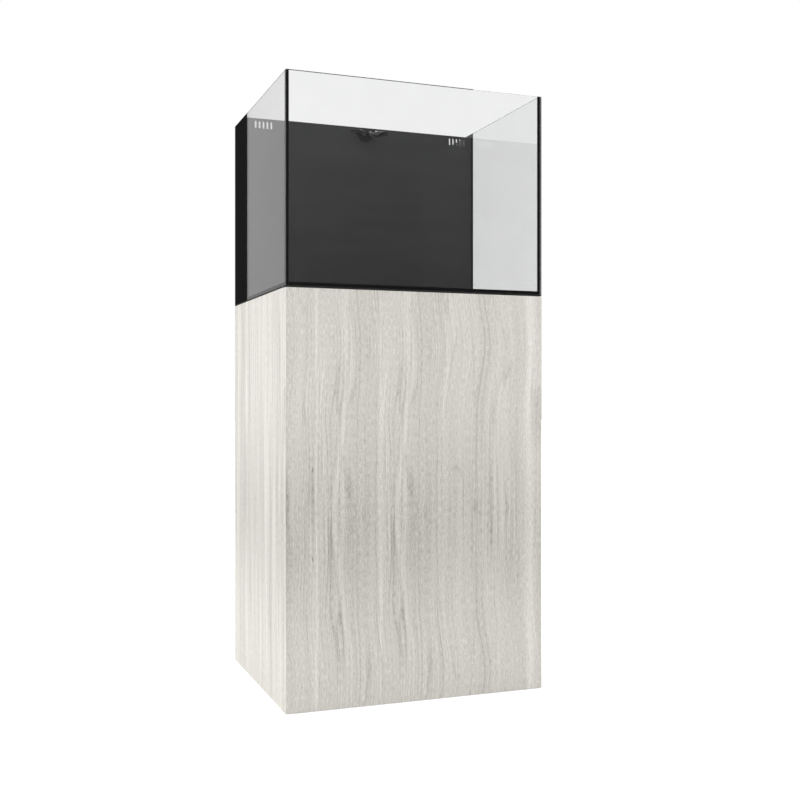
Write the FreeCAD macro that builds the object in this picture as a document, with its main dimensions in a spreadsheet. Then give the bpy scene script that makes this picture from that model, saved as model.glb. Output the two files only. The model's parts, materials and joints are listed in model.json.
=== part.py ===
import FreeCAD, Part
import math
import os
import re
import Sketcher

# A rimless all-in-one aquarium on a one-door cabinet. The frame is the centre of the base on the
# floor: +Z up, +X to the right as one faces the door, +Y towards the back. All sizes are mm.

DRIVING = (
    ("width", 600), ("depth", 512), ("cabinet_high", 895), ("mat_thick", 3), ("tank_high", 452),
    # cabinet
    ("panel_thick", 18), ("back_thick", 12), ("back_recess", 4), ("edge_break", 0.5),
    ("door_gap", 2),
    ("door_floor_gap", 1), ("door_top_gap", 1), ("hole_play", 0.05),
    ("port_radius", 29), ("port_x", 190), ("port_low", 150), ("port_high", 700),
    ("grommet_bore", 26), ("grommet_flange", 36), ("grommet_lip", 2.5),
    ("cam_radius", 7.5), ("cam_deep", 12.5), ("cam_inset", 34), ("cam_setback", 60),
    ("cross_half", 4.5), ("cross_wide", 1.2), ("cross_deep", 1.5),
    ("bolt_radius", 3), ("bolt_bite", 11),
    # pivot hinges of the door, both sunk in the edges of the panels
    ("pivot_x", 5.5), ("pivot_y", 9), ("leaf_half", 5), ("leaf_thick", 2), ("leaf_reach", 31),
    ("leaf_inner", 19), ("leaf_tail", 50), ("leaf_sink", 3.2), ("leaf_gap", 1), ("pin_radius", 2),
    ("door_leaf_long", 60), ("mortise_play", 0.4), ("washer_thick", 0.9),
    ("screw_radius", 1.75), ("screw_head", 3.5), ("screw_long", 14), ("head_rise", 1.6),
    ("leaf_row_near", 14), ("leaf_row_far", 40), ("bar_row", 8),
    # push latch
    ("latch_level", 447), ("latch_half", 7), ("latch_long", 70), ("latch_front", 4),
    ("ear_inset", 14), ("ear_long", 46), ("ear_thick", 3), ("ear_reach", 18), ("ear_row", 12),
    ("ear_screw_long", 12),
    ("plunger_radius", 4), ("plunger_head", 6), ("head_thick", 3.5), ("plunger_long", 60),
    ("strike_radius", 8), ("strike_thick", 1), ("strike_gap", 0.3),
    ("bumper_radius", 4), ("bumper_thick", 1.6), ("bumper_inset", 9), ("bumper_level", 60),
    # tank
    ("glass_thick", 8), ("glass_edge", 0.4), ("seam_thick", 1), ("seam_inset", 0.8),
    ("film_thick", 0.3), ("film_lead_left", 3.5), ("film_lead_right", 6.5),
    ("wall_setback", 376), ("wall_thick", 6),
    ("wall_drop", 9.5), ("slot_half", 2.5), ("slot_high", 20), ("slot_pitch", 9.7),
    ("slot_drop", 5.3), ("slot_inset", 20.8), ("divider_x", 177), ("divider_thick", 5),
    ("divider_foot", 24), ("divider_drop", 32), ("holder_drop", 63), ("holder_thick", 5),
    ("holder_play", 2), ("sock_hole", 38.6),
    # filter socks
    ("sock_radius", 38), ("felt_thick", 3), ("sock_long", 200), ("sock_toe", 22),
    ("sock_toe_radius", 29), ("flange_radius", 43), ("flange_thick", 3), ("collar_long", 22),
    ("collar_thick", 1.4), ("tab_half", 9), ("tab_reach", 55),
    # return outlet
    ("outlet_drop", 30), ("shank_radius", 10.3), ("bulkhead_radius", 16), ("bulkhead_thick", 4),
    ("outlet_bore", 6.5), ("elbow_back", 50), ("spigot_radius", 8.5), ("spigot_drop", 36),
    ("elbow_drop", 18), ("shank_thread", 20),
    ("gasket_thick", 2), ("nut_thick", 7), ("nut_radius", 17.3), ("hub_radius", 12),
    ("hub_long", 12), ("splay", 51.4), ("arm_start", 8), ("arm_long", 13), ("link_long", 14),
    ("ball_radius", 7), ("ball_play", 0.06), ("socket_radius", 9.2), ("socket_lip", 1.6),
    ("neck_radius", 4), ("neck_bore", 2.5), ("nozzle_long", 24), ("nozzle_half", 14),
    ("nozzle_flat", 4.4), ("mouth_half", 12), ("mouth_flat", 1.8), ("throat_radius", 3.5),
    # return pump
    ("pump_level", 44), ("pump_y", 187), ("volute_radius", 34), ("volute_half", 20),
    ("cavity_radius", 24), ("cavity_half", 14), ("inlet_radius", 10), ("motor_radius", 30),
    ("motor_long", 84), ("rib_radius", 31.2), ("rotor_radius", 11), ("rotor_long", 50),
    ("rotor_play", 0.6), ("vane_radius", 20), ("vane_half", 9), ("vane_thick", 2),
    ("shaft_radius", 2), ("strainer_radius", 26), ("strainer_long", 38), ("strainer_wall", 2),
    ("strainer_slit", 3), ("riser_high", 44), ("riser_top", 64), ("hose_wall", 2.4),
    ("clamp_thick", 1), ("clamp_wide", 8), ("clamp_setback", 6),
    ("foot_radius", 7), ("foot_high", 24), ("foot_inset", 18), ("foot_spread", 14),
    ("gland_radius", 6.5), ("gland_long", 13), ("lead_radius", 2.6), ("rib_wide", 5),
    ("motor_nose", 8), ("boss_thick", 2.5), ("shaft_seat", 6), ("shaft_play", 0.02),
    ("strainer_rim", 5), ("hub_core", 5), ("vane_disc", 2),
)
ALIASES = {name for name, value in DRIVING}

doc = FreeCAD.newDocument("aquarium_on_stand")
sheet = doc.addObject("Spreadsheet::Sheet", "size")
for row, (name, value) in enumerate(DRIVING, 1):
    sheet.set("A%d" % row, name)
    sheet.set("B%d" % row, str(value))
    sheet.setAlias("B%d" % row, name)
doc.recompute()

# Places that several sub-parts share, as text for expressions.
SIDE_IN = "(width / 2 - panel_thick)"
DOOR_BACK = "(-depth / 2 + panel_thick)"
CARCASS = "(-depth / 2 + panel_thick + door_gap)"
DOOR_TOP = "(cabinet_high - door_top_gap)"
PIVOT_X = "(width / 2 - pivot_x)"
PIVOT_Y = "(-depth / 2 + pivot_y)"
TANK = "(cabinet_high + mat_thick)"
RIM = "(cabinet_high + mat_thick + tank_high)"
GLASS_OUT = "(width / 2 - film_thick)"
GLASS_IN = "(width / 2 - film_thick - glass_thick)"
FRONT_IN = "(-depth / 2 + glass_thick)"
REAR_OUT = "(depth / 2 - film_thick)"
REAR_IN = "(depth / 2 - film_thick - glass_thick)"
FLOOR = "(cabinet_high + mat_thick + glass_thick)"
WALL = "(-depth / 2 + wall_setback)"
WALL_BACK = "(-depth / 2 + wall_setback + wall_thick)"
CHAMBER_Y = "((wall_setback + wall_thick - film_thick - glass_thick) / 2)"
SOCK_X = f"(({GLASS_IN} + divider_x + divider_thick) / 2)"
HOLDER_TOP = f"({RIM} - holder_drop)"
OUTLET_Z = f"({RIM} - outlet_drop)"
PUMP_Z = f"({FLOOR} + pump_level)"
RISER_Y = f"({WALL} + elbow_back)"

UP = FreeCAD.Vector(0, 0, 1)
TURNS = {
    "z": FreeCAD.Rotation(UP, 0),
    "x": FreeCAD.Rotation(FreeCAD.Vector(0, 1, 0), 90),
    "y": FreeCAD.Rotation(FreeCAD.Vector(1, 0, 0), -90),
}
nodes = []


def ex(text):
    """The text as an expression, with the sheet's name before each of its aliases."""
    return re.sub(r"[a-z_]+", lambda word: ("size." if word[0] in ALIASES else "") + word[0], text)


def number(text):
    """What an expression on the sheet is worth now."""
    return float(sheet.evalExpression(ex(text)))


def bind(item, **texts):
    """Tie an object's properties to expressions on the sheet."""
    for name, text in texts.items():
        item.setExpression(name, ex(text))
    return item


def place(item, at, turn=TURNS["z"]):
    """Turn an object, then put its origin at three expressions."""
    item.Placement = FreeCAD.Placement(FreeCAD.Vector(0, 0, 0), turn)
    for name, text in zip("xyz", at):
        item.setExpression("Placement.Base." + name, ex(text))
    return item


def node(label, item):
    """Name a finished sub-part and list it for writing."""
    item.Label = label
    nodes.append(item)
    return item


def mirrored(side, text):
    """An expression on the right-hand side, or its negative on the left."""
    return text if side == "right" else f"-({text})"


# Part primitives and booleans.

def block(at, size):
    item = doc.addObject("Part::Box", "Block")
    bind(item, Length=size[0], Width=size[1], Height=size[2])
    return place(item, at)


def rod(at, radius, high, along="z"):
    item = doc.addObject("Part::Cylinder", "Rod")
    bind(item, Radius=radius, Height=high)
    return place(item, at, TURNS[along])


def taper(at, low_radius, top_radius, high, turn=TURNS["z"]):
    item = doc.addObject("Part::Cone", "Taper")
    bind(item, Radius1=low_radius, Radius2=top_radius, Height=high)
    return place(item, at, turn)


def orb(at, radius):
    item = doc.addObject("Part::Sphere", "Orb")
    bind(item, Radius=radius)
    return place(item, at)


def joined(*items):
    item = doc.addObject("Part::MultiFuse", "Joined")
    item.Shapes = list(items)
    return item


def less(base, *tools):
    item = doc.addObject("Part::Cut", "Less")
    item.Base = base
    item.Tool = tools[0] if len(tools) == 1 else joined(*tools)
    return item


def group(*items):
    """Separate solids that share one node."""
    item = doc.addObject("Part::Compound", "Group")
    item.Links = list(items)
    return item


# PartDesign bodies, sketches and features.

def new_body():
    return doc.addObject("PartDesign::Body", "Body")


def drawing(host, role, offset="0"):
    """A sketch on one of the body's own origin planes, moved along its normal."""
    sketch = host.newObject("Sketcher::SketchObject", "Sketch")
    plane = next(part for part in host.Origin.OriginFeatures if part.Role == role)
    sketch.AttachmentSupport = [(plane, "")]
    sketch.MapMode = "FlatFace"
    sketch.setExpression("AttachmentOffset.Base.z", ex(offset))
    return sketch


def hold(sketch, kind, index, corner, text):
    """Hold a point of the sketch at a distance from its origin that follows the sheet."""
    rule = Sketcher.Constraint(kind, -1, 1, index, corner, number(text))
    sketch.setExpression("Constraints[%d]" % sketch.addConstraint(rule), ex(text))


def outline(sketch, points):
    """A closed outline of straight lines through points that follow the sheet."""
    spots = [FreeCAD.Vector(number(across), number(along), 0) for across, along in points]
    first = sketch.GeometryCount
    total = len(spots)
    for turn, spot in enumerate(spots):
        sketch.addGeometry(Part.LineSegment(spot, spots[(turn + 1) % total]), False)
    for turn, (across, along) in enumerate(points):
        following = first + (turn + 1) % total
        sketch.addConstraint(Sketcher.Constraint("Coincident", first + turn, 2, following, 1))
        hold(sketch, "DistanceX", first + turn, 1, across)
        hold(sketch, "DistanceY", first + turn, 1, along)


def rectangle(sketch, low, high):
    outline(sketch, ((low[0], low[1]), (high[0], low[1]), (high[0], high[1]), (low[0], high[1])))


def circle(sketch, across, along, radius):
    centre = FreeCAD.Vector(number(across), number(along), 0)
    index = sketch.addGeometry(Part.Circle(centre, UP, number(radius)), False)
    hold(sketch, "DistanceX", index, 3, across)
    hold(sketch, "DistanceY", index, 3, along)
    rule = Sketcher.Constraint("Radius", index, number(radius))
    sketch.setExpression("Constraints[%d]" % sketch.addConstraint(rule), ex(radius))


def upright_slot(sketch, across, low, high, half):
    """A slot with round ends: two arcs joined by two tangent lines."""
    middle, radius = number(across), number(half)
    bottom, top = number(low) + radius, number(high) - radius
    for level, start in ((bottom, math.pi), (top, 0)):
        ring = Part.Circle(FreeCAD.Vector(middle, level, 0), UP, radius)
        sketch.addGeometry(Part.ArcOfCircle(ring, start, start + math.pi), False)
    for edge in (middle + radius, middle - radius):
        ends = FreeCAD.Vector(edge, bottom, 0), FreeCAD.Vector(edge, top, 0)
        sketch.addGeometry(Part.LineSegment(*ends), False)
    for arc, arc_end, line, line_end in ((0, 2, 2, 1), (2, 2, 1, 1), (1, 2, 3, 2), (3, 1, 0, 1)):
        sketch.addConstraint(Sketcher.Constraint("Tangent", arc, arc_end, line, line_end))
    for arc, along in ((0, f"{low} + {half}"), (1, f"{high} - {half}")):
        hold(sketch, "DistanceX", arc, 3, across)
        hold(sketch, "DistanceY", arc, 3, along)
        rule = Sketcher.Constraint("Radius", arc, radius)
        sketch.setExpression("Constraints[%d]" % sketch.addConstraint(rule), ex(half))


def pad(host, sketch, length, backwards=False):
    item = host.newObject("PartDesign::Pad", "Pad")
    item.Profile = sketch
    item.Reversed = backwards
    return bind(item, Length=length)


def pocket(host, sketch, length, backwards=False):
    """Cut a sketch into the body, and make sure that it took something away."""
    doc.recompute()
    before = host.Shape.Volume
    item = host.newObject("PartDesign::Pocket", "Pocket")
    item.Profile = sketch
    item.Reversed = backwards
    bind(item, Length=length)
    doc.recompute()
    if host.Shape.Volume > before - 1:
        raise ValueError(sketch.Name + " cuts nothing")
    return item


def revolution(host, sketch):
    item = host.newObject("PartDesign::Revolution", "Revolution")
    item.Profile = sketch
    item.ReferenceAxis = (sketch, ["V_Axis"])
    item.Angle = 360
    return item


def slab(at, size, edge):
    """A board or pane whose twelve edges are all broken by a small chamfer."""
    host = new_body()
    box = host.newObject("PartDesign::AdditiveBox", "Box")
    bind(box, Length=size[0], Width=size[1], Height=size[2])
    doc.recompute()
    chamfer = host.newObject("PartDesign::Chamfer", "Chamfer")
    chamfer.Base = (box, [""])
    chamfer.UseAllEdges = True
    bind(chamfer, Size=edge)
    return place(host, at)


# Cabinet.

CARCASS_DEEP = "(depth - panel_thick - door_gap)"
BOARD_LONG = "(width - 2 * panel_thick)"
BOARD_DEEP = "(depth - panel_thick - door_gap - back_thick - back_recess)"
CAM_ROWS = ("cam_setback", f"{BOARD_DEEP} - cam_setback")
HOLE = "bolt_radius + hole_play"


def side_panel(side):
    """One side board, with blind bores for the cam bolts and, on the left, the latch's screws."""
    at = "-width / 2" if side == "left" else SIDE_IN
    board = slab((at, CARCASS, "0"), ("panel_thick", CARCASS_DEEP, "cabinet_high"), "edge_break")
    inner_face = "panel_thick" if side == "left" else "0"
    bores = drawing(board, "YZ_Plane", inner_face)
    for row in CAM_ROWS:
        circle(bores, row, "panel_thick / 2", HOLE)
        circle(bores, row, "cabinet_high - panel_thick / 2", HOLE)
    pocket(board, bores, "bolt_bite + hole_play", side == "right")
    if side == "left":
        pilots = drawing(board, "YZ_Plane", inner_face)
        for shift in ("- ear_row", "+ ear_row"):
            circle(pilots, "latch_front + ear_inset + ear_long / 2", f"latch_level {shift}",
                   "screw_radius + hole_play")
        pocket(board, pilots, "ear_screw_long + hole_play")
    node("side_panel_" + side, board)


def level_board(label, low, upside_down):
    """The top or bottom board: cams, end bores, and the mortise for one pivot leaf."""
    at = (f"-{SIDE_IN}", CARCASS, low)
    board = slab(at, (BOARD_LONG, BOARD_DEEP, "panel_thick"), "edge_break")
    cam_face, leaf_face = ("panel_thick", "0") if upside_down else ("0", "panel_thick")
    cams = drawing(board, "XY_Plane", cam_face)
    for row in CAM_ROWS:
        circle(cams, "cam_inset", row, "cam_radius + hole_play")
        circle(cams, f"{BOARD_LONG} - cam_inset", row, "cam_radius + hole_play")
    pocket(board, cams, "cam_deep + hole_play", not upside_down)
    for face, backwards in (("0", True), (BOARD_LONG, False)):
        bores = drawing(board, "YZ_Plane", face)
        for row in CAM_ROWS:
            circle(bores, row, "panel_thick / 2", HOLE)
        pocket(board, bores, "cam_inset - cam_radius", backwards)
    mortise = drawing(board, "XY_Plane", leaf_face)
    inner = f"{BOARD_LONG} - leaf_reach + panel_thick - mortise_play"
    rectangle(mortise, (inner, "-1"), (f"{BOARD_LONG} + 1", "leaf_tail + mortise_play"))
    pocket(board, mortise, "leaf_sink", upside_down)
    pilots = drawing(board, "XY_Plane", leaf_face)
    for row in SCREW_ROWS:
        circle(pilots, f"{BOARD_LONG} + panel_thick - {LEAF_MIDDLE}", row, "screw_radius + hole_play")
    pocket(board, pilots, "leaf_sink + screw_long", upside_down)
    node(label, board)


def back_panel():
    """The back board, with two round ports for pipes and leads."""
    at = (f"-{SIDE_IN}", "depth / 2 - back_recess - back_thick", "0")
    board = slab(at, (BOARD_LONG, "back_thick", "cabinet_high"), "edge_break")
    ports = drawing(board, "XZ_Plane", "0")
    for level in ("port_low", "port_high"):
        circle(ports, f"{SIDE_IN} + port_x", level, "port_radius + 2 * hole_play")
    pocket(board, ports, "back_thick")
    node("back_panel", board)


def grommet(label, level):
    """A turned plastic bush: a sleeve through the back board and a lip outside it."""
    host = new_body()
    section = drawing(host, "XZ_Plane")
    outline(section, (
        ("grommet_bore", "0"), ("port_radius", "0"), ("port_radius", "back_thick"),
        ("grommet_flange", "back_thick"), ("grommet_flange - 1", "back_thick + grommet_lip"),
        ("grommet_bore + 1", "back_thick + grommet_lip"), ("grommet_bore", "back_thick + grommet_lip - 1")))
    revolution(host, section)
    at = ("port_x", "depth / 2 - back_recess - back_thick", level)
    node(label, place(host, at, TURNS["y"]))


def cabinet_fasteners():
    """Eccentric cams sunk in the level boards, and the bolts that they draw in."""
    cams, bolts = [], []
    for side in ("left", "right"):
        middle = mirrored(side, f"{SIDE_IN} - cam_inset")
        start = f"{SIDE_IN} - cam_inset + cam_radius"
        if side == "left":
            start = f"-{SIDE_IN} - bolt_bite"
        for row in CAM_ROWS:
            across = f"{CARCASS} + {row}"
            for low, centre in (("panel_thick - cam_deep", "panel_thick / 2"),
                                ("cabinet_high - panel_thick", "cabinet_high - panel_thick / 2")):
                disc = rod((middle, across, low), "cam_radius", "cam_deep")
                cross_low = f"{low} + cam_deep - cross_deep" if low.startswith("panel") else low
                cross = joined(
                    block((f"{middle} - cross_half", f"{across} - cross_wide / 2", cross_low),
                          ("2 * cross_half", "cross_wide", "cross_deep")),
                    block((f"{middle} - cross_wide / 2", f"{across} - cross_half", cross_low),
                          ("cross_wide", "2 * cross_half", "cross_deep")))
                cams.append(less(disc, cross))
                length = "bolt_bite + cam_inset - cam_radius"
                bolts.append(rod((start, across, centre), "bolt_radius", length, "x"))
    node("cam_locks", group(*cams))
    node("cam_bolts", group(*bolts))


# Door and its two pivot hinges.

LEAF_MIDDLE = "((leaf_reach + leaf_inner) / 2)"
SCREW_ROWS = ("leaf_row_near", "leaf_row_far")
DOOR_SCREWS = ("leaf_reach + bar_row", "door_leaf_long - bar_row")
UPPER_LEAF = "cabinet_high - leaf_sink"
LOWER_LEAF = "leaf_sink - leaf_thick"
DOOR_SINK = "(leaf_sink + leaf_thick + leaf_gap - door_top_gap)"


def door_panel():
    """The full-overlay door, mortised in its top and bottom edges for the pivot leaves."""
    high = "(cabinet_high - door_floor_gap - door_top_gap)"
    board = slab(("-width / 2", "-depth / 2", "door_floor_gap"),
                 ("width", "panel_thick", high), "edge_break")
    near, far = "pivot_y - leaf_half - mortise_play", "pivot_y + leaf_half + mortise_play"
    swing = "width - leaf_reach - 2"
    for face, backwards in ((high, False), ("0", True)):
        mortise = drawing(board, "XY_Plane", face)
        outline(mortise, (
            ("width - door_leaf_long - mortise_play", near), ("width + 1", near),
            ("width + 1", "panel_thick + 1"), (swing, "panel_thick + 1"), (swing, far),
            ("width - door_leaf_long - mortise_play", far)))
        pocket(board, mortise, DOOR_SINK, backwards)
        pilots = drawing(board, "XY_Plane", face)
        for along in DOOR_SCREWS:
            circle(pilots, f"width - ({along})", "pivot_y", "screw_radius + hole_play")
        pocket(board, pilots, f"{DOOR_SINK} + screw_long", backwards)
    node("door_panel", board)


def countersink(at, upwards):
    """A hole for a flat-headed screw through one leaf; its wide end is up, or down."""
    wide, narrow = "screw_head + 2 * hole_play", "screw_radius + hole_play"
    ends = (narrow, wide) if upwards else (wide, narrow)
    return taper(at, *ends, "leaf_thick")


def screw(at, upwards):
    """A flat-headed wood screw whose head lies flush in its leaf."""
    x, y, z = at
    ends = ("screw_radius", "screw_head") if upwards else ("screw_head", "screw_radius")
    shank_low = f"{z} - screw_long + leaf_thick" if upwards else f"{z} + leaf_thick"
    return joined(taper(at, *ends, "leaf_thick"),
                  rod((x, y, shank_low), "screw_radius", "screw_long - leaf_thick"))


def frame_leaf(label, low, upwards):
    """The cranked leaf let into a level board, which reaches round into the door's edge."""
    hook = joined(
        rod((PIVOT_X, PIVOT_Y, low), "leaf_half", "leaf_thick"),
        block(("width / 2 - leaf_reach", f"{PIVOT_Y} - leaf_half", low),
              ("leaf_reach - pivot_x", "2 * leaf_half", "leaf_thick")),
        block(("width / 2 - leaf_reach", f"{PIVOT_Y} + leaf_half", low),
              ("leaf_reach - leaf_inner", f"{CARCASS} + leaf_tail - {PIVOT_Y} - leaf_half",
               "leaf_thick")))
    holes = [countersink((f"width / 2 - {LEAF_MIDDLE}", f"{CARCASS} + {row}", low), upwards)
             for row in SCREW_ROWS]
    bore = rod((PIVOT_X, PIVOT_Y, f"{low} - 1"), "pin_radius + hole_play", "leaf_thick + 2")
    node(label, less(hook, bore, *holes))


def door_leaf(label, low, upwards):
    """The straight leaf screwed into the door's edge, which carries the pivot pin."""
    bar = joined(
        rod((PIVOT_X, PIVOT_Y, low), "leaf_half", "leaf_thick"),
        block(("width / 2 - door_leaf_long", f"{PIVOT_Y} - leaf_half", low),
              ("door_leaf_long - pivot_x", "2 * leaf_half", "leaf_thick")))
    holes = [countersink((f"width / 2 - ({along})", PIVOT_Y, low), upwards)
             for along in DOOR_SCREWS]
    bore = rod((PIVOT_X, PIVOT_Y, f"{low} - 1"), "pin_radius", "leaf_thick + 2")
    node(label, less(bar, bore, *holes))


def hinges():
    """Both pivot hinges: leaves, pins, washers between the leaves, and their screws."""
    door_upper = f"{UPPER_LEAF} - leaf_gap - leaf_thick"
    door_lower = "leaf_sink + leaf_gap"
    frame_leaf("pivot_leaf_upper", UPPER_LEAF, True)
    frame_leaf("pivot_leaf_lower", LOWER_LEAF, False)
    door_leaf("door_leaf_upper", door_upper, True)
    door_leaf("door_leaf_lower", door_lower, False)
    stack = "2 * leaf_thick + leaf_gap"
    node("pivot_pins", group(
        rod((PIVOT_X, PIVOT_Y, door_upper), "pin_radius", stack),
        rod((PIVOT_X, PIVOT_Y, LOWER_LEAF), "pin_radius", stack)))
    washers = []
    for low in (f"{UPPER_LEAF} - leaf_gap + hole_play", "leaf_sink + hole_play"):
        at = (PIVOT_X, PIVOT_Y, low)
        washers.append(less(rod(at, "leaf_half - 0.5", "washer_thick"),
                            rod(at, "pin_radius + hole_play", "washer_thick")))
    node("pivot_washers", group(*washers))
    frame_screws, door_screws = [], []
    for low, upwards in ((UPPER_LEAF, True), (LOWER_LEAF, False)):
        for row in SCREW_ROWS:
            at = (f"width / 2 - {LEAF_MIDDLE}", f"{CARCASS} + {row}", low)
            frame_screws.append(screw(at, upwards))
    for low, upwards in ((door_upper, True), (door_lower, False)):
        for along in DOOR_SCREWS:
            door_screws.append(screw((f"width / 2 - ({along})", PIVOT_Y, low), upwards))
    node("frame_leaf_screws", group(*frame_screws))
    node("door_leaf_screws", group(*door_screws))


def latch():
    """The push latch on the left side board, its plunger, and the steel strike on the door."""
    middle_x = f"-{SIDE_IN} + latch_half"
    front = f"{CARCASS} + latch_front"
    case = block((f"-{SIDE_IN}", front, "latch_level - latch_half"),
                 ("2 * latch_half", "latch_long", "2 * latch_half"))
    ears = block((f"-{SIDE_IN}", f"{front} + ear_inset", "latch_level - ear_reach"),
                 ("ear_thick", "ear_long", "2 * ear_reach"))
    bore = rod((middle_x, f"{front} - 1", "latch_level"), "plunger_radius + hole_play",
               "plunger_long + 5", "y")
    holes, screws = [], []
    for shift in ("- ear_row", "+ ear_row"):
        row = (f"{front} + ear_inset + ear_long / 2", f"latch_level {shift}")
        holes.append(rod((f"-{SIDE_IN} - 1", *row), "screw_radius + hole_play",
                         "ear_thick + 2", "x"))
        screws.append(joined(
            rod((f"-{SIDE_IN} - ear_screw_long", *row), "screw_radius",
                "ear_screw_long + ear_thick", "x"),
            taper((f"-{SIDE_IN} + ear_thick", *row), "screw_head", "screw_radius", "head_rise",
                  TURNS["x"])))
    node("latch_housing", less(joined(case, ears), bore, *holes))
    node("latch_screws", group(*screws))
    tip = f"{DOOR_BACK} + strike_thick + strike_gap"
    node("latch_plunger", joined(
        rod((middle_x, tip, "latch_level"), "plunger_head", "head_thick", "y"),
        rod((middle_x, tip, "latch_level"), "plunger_radius", "plunger_long", "y")))
    node("latch_strike", rod((middle_x, DOOR_BACK, "latch_level"), "strike_radius",
                             "strike_thick", "y"))
    node("door_bumpers", group(*[
        rod(("-width / 2 + bumper_inset", DOOR_BACK, level), "bumper_radius", "bumper_thick", "y")
        for level in ("bumper_level", "cabinet_high - bumper_level")]))


# Tank.

def panes():
    """The mat, the five glass panes, and the black film on the outside of the rear chamber."""
    node("levelling_mat", slab(("-width / 2", "-depth / 2", "cabinet_high"),
                               ("width", "depth", "mat_thick"), "edge_break"))
    node("bottom_glass", slab((f"-{GLASS_IN} + seam_thick", f"{FRONT_IN} + seam_thick", TANK),
                              (f"2 * ({GLASS_IN} - seam_thick)",
                               f"{REAR_IN} - {FRONT_IN} - 2 * seam_thick", "glass_thick"),
                              "glass_edge"))
    wide = f"2 * {GLASS_OUT}"
    for label, low in (("front_glass", "-depth / 2"), ("rear_glass", REAR_IN)):
        node(label, slab((f"-{GLASS_OUT}", low, TANK), (wide, "glass_thick", "tank_high"),
                         "glass_edge"))
    side_deep = f"{REAR_IN} - {FRONT_IN} - 2 * seam_thick"
    for side, low in (("left", f"-{GLASS_OUT}"), ("right", GLASS_IN)):
        node(side + "_glass", slab((low, f"{FRONT_IN} + seam_thick", TANK),
                                   ("glass_thick", side_deep, "tank_high"), "glass_edge"))
    for side, low in (("left", "-width / 2"), ("right", GLASS_OUT)):
        film_y = f"{WALL} - film_lead_{side}"
        node("film_" + side, block((low, film_y, TANK),
                                   ("film_thick", f"depth / 2 - ({film_y})", "tank_high")))
    node("film_back", block((f"-{GLASS_OUT}", REAR_OUT, TANK), (wide, "film_thick", "tank_high")))


def corner_seam(side, low):
    """The layer of silicone between a side pane and the pane that it meets, trimmed short of both."""
    start = f"{GLASS_IN} + seam_inset" if side == "right" else f"-{GLASS_OUT} + seam_inset"
    return block((start, low, TANK),
                 ("glass_thick - 2 * seam_inset", "seam_thick", "tank_high - glass_edge"))


def seams():
    """Black silicone: four upright corners, and a ring round the bottom pane."""
    node("corner_seams", group(*[corner_seam(side, low) for side in ("left", "right")
                                 for low in (FRONT_IN, f"{REAR_IN} - seam_thick")]))
    outer = block((f"-{GLASS_IN}", FRONT_IN, TANK),
                  (f"2 * {GLASS_IN}", f"{REAR_IN} - {FRONT_IN}", "glass_thick"))
    inner = block((f"-{GLASS_IN} + seam_thick", f"{FRONT_IN} + seam_thick", f"{TANK} - 1"),
                  (f"2 * ({GLASS_IN} - seam_thick)",
                   f"{REAR_IN} - {FRONT_IN} - 2 * seam_thick", "glass_thick + 2"))
    node("base_seams", less(outer, inner))


def overflow_wall():
    """The black wall before the rear chamber, with a comb of slots at each end of its top."""
    host = new_body()
    face = drawing(host, "XZ_Plane")
    top = f"({RIM} - wall_drop)"
    rectangle(face, (f"-{GLASS_IN}", FLOOR), (GLASS_IN, top))
    pad(host, face, "wall_thick", True)
    slot = drawing(host, "XZ_Plane")
    high = f"({top} - slot_drop)"
    upright_slot(slot, f"-{GLASS_IN} + slot_inset", f"({high} - slot_high)", high, "slot_half")
    first = pocket(host, slot, "wall_thick")
    row = host.newObject("PartDesign::LinearPattern", "LinearPattern")
    row.Originals = [first]
    row.Direction = (slot, ["H_Axis"])
    row.Occurrences = 5
    bind(row, Length="4 * slot_pitch")
    host.Tip = row
    doc.recompute()
    second = drawing(host, "XZ_Plane")
    upright_slot(second, f"{GLASS_IN} - slot_inset - 4 * slot_pitch", f"({high} - slot_high)",
                 high, "slot_half")
    other = pocket(host, second, "wall_thick")
    other_row = host.newObject("PartDesign::LinearPattern", "LinearPattern")
    other_row.Originals = [other]
    other_row.Direction = (second, ["H_Axis"])
    other_row.Occurrences = 5
    bind(other_row, Length="4 * slot_pitch")
    host.Tip = other_row
    doc.recompute()
    outlet = drawing(host, "XZ_Plane")
    circle(outlet, "0", OUTLET_Z, "shank_radius + 0.3")
    pocket(host, outlet, "wall_thick")
    node("overflow_wall", place(host, ("0", WALL, "0")))


def rear_chamber(side):
    """A divider and the plate that holds one filter sock."""
    low_x = "divider_x" if side == "right" else "-divider_x - divider_thick"
    node("divider_" + side, slab((low_x, WALL_BACK, f"{FLOOR} + divider_foot"),
                                 ("divider_thick", f"{REAR_IN} - {WALL_BACK}",
                                  "tank_high - glass_thick - divider_foot - divider_drop"),
                                 "edge_break"))
    inner = "(divider_x + divider_thick + holder_play)"
    wide = f"({GLASS_IN} - holder_play - {inner})"
    deep = f"({REAR_IN} - {WALL_BACK} - 2 * holder_play)"
    at_x = inner if side == "right" else f"-{inner} - {wide}"
    plate = slab((at_x, f"{WALL_BACK} + holder_play", f"{HOLDER_TOP} - holder_thick"),
                 (wide, deep, "holder_thick"), "edge_break")
    hole = drawing(plate, "XY_Plane", "holder_thick")
    circle(hole, f"{wide} / 2", f"{deep} / 2", "sock_hole")
    pocket(plate, hole, "holder_thick")
    node("sock_holder_" + side, plate)


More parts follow.
